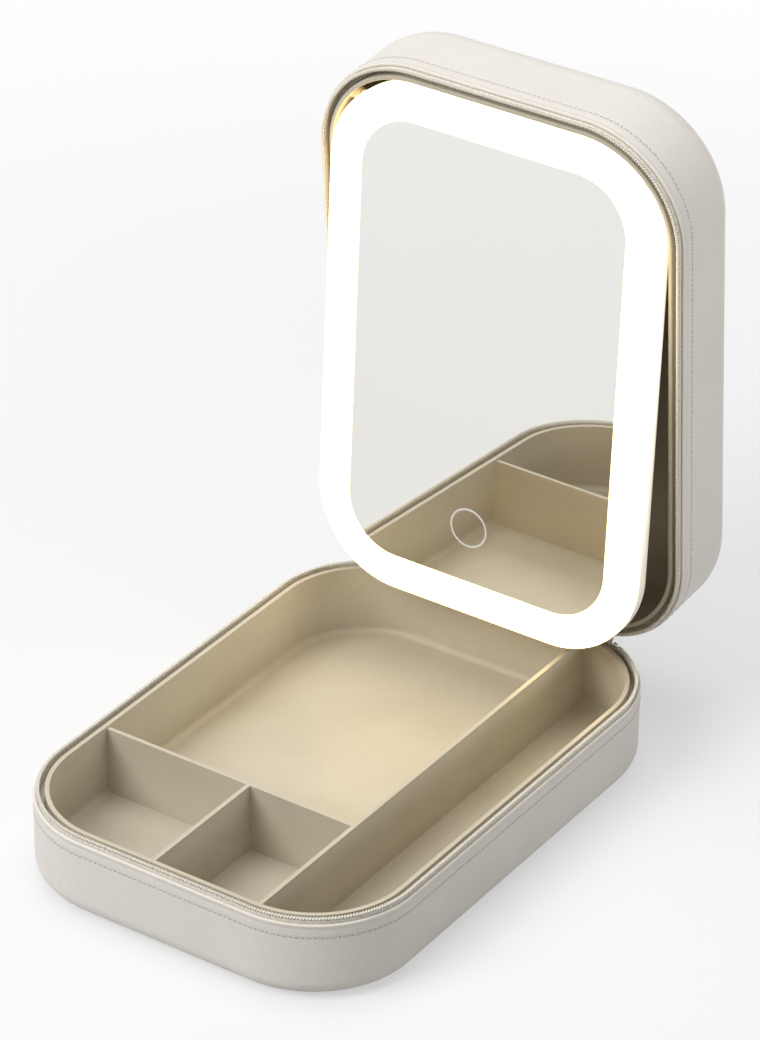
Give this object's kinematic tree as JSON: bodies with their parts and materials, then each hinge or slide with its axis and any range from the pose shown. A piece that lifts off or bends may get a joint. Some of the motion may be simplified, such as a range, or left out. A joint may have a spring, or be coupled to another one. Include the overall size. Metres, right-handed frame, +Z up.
{
  "type": "vanity case with mirror",
  "caption": "Portable clamshell vanity case with a divided tray in the base, a zip round the rim and a lit, tilting mirror panel hinged in the lid.",
  "frame": {"origin": "centre of the base's flat underside", "axes": "+Z up out of the open base tray, +Y towards the lid's hinge at the back, +X to the right as the user sits in front"},
  "size_m": [0.17, 0.2828, 0.2794],
  "materials": {
    "cover": "fine grain",
    "board": "matte",
    "tray": "satin",
    "tape": "woven",
    "coil": "satin",
    "zip_metal": "satin",
    "steel": "satin",
    "panel": "satin",
    "diffuser": "opal",
    "mirror": "polished",
    "carrier": "matte",
    "foam": "matte",
    "circuit": "satin",
    "chip": "satin",
    "led": "satin",
    "strip": "matte",
    "battery": "satin",
    "lead": "satin",
    "copper": "satin",
    "ring_ink": "satin"
  },
  "bodies": {
    "base": {"base_cover": "cover", "base_board": "board", "base_tray": "tray", "base_zip_tape": "tape", "base_zip_teeth": "coil", "zip_stops": "zip_metal", "zip_slider": "zip_metal", "base_hinge_leaves": "steel", "hinge_pins": "steel", "base_rivets": "steel", "spine_flap": "cover"},
    "lid": {"lid_cover": "cover", "lid_board": "board", "lid_tray": "tray", "lid_zip_tape": "tape", "lid_zip_teeth": "coil", "lid_hinge_leaves": "steel", "lid_rivets": "steel"},
    "mirror": {"mirror_back_cover": "panel", "light_diffuser": "diffuser", "mirror_glass": "mirror", "mirror_carrier": "carrier", "mirror_foam": "foam", "led_strip": "strip", "led_chips": "led", "battery_pack": "battery", "control_board": "circuit", "board_chips": "chip", "port_circuit": "circuit", "usb_port": "steel", "panel_leads": "lead", "touch_pad": "copper", "touch_ring": "ring_ink", "panel_screws": "steel", "pivot_pins": "steel", "pivot_washers": "foam"},
    "pull": {"zip_pull": "zip_metal"}
  },
  "joints": [
    {"name": "lid_hinge", "type": "hinge", "parent": "base", "child": "lid", "pos_m": [0, 0.1187, 0.0376], "axis": [1, 0, 0], "range_deg": [-4.5, 85.5], "deforming": ["spine_flap"]},
    {"name": "mirror_tilt", "type": "hinge", "parent": "lid", "child": "mirror", "pos_m": [0, 0.10802, 0.25614], "axis": [1, 0, 0], "range_deg": [-0.6, 10.5]},
    {"name": "pull_swing", "type": "hinge", "parent": "base", "child": "pull", "pos_m": [-0.06515, 0.11705, 0.0364], "axis": [0.848, 0.5299, 0], "range_deg": [0, 100]}
  ],
  "couplings": [
    {"joint": "mirror_tilt", "follows": "lid_hinge", "ratio": 0.1228}
  ]
}
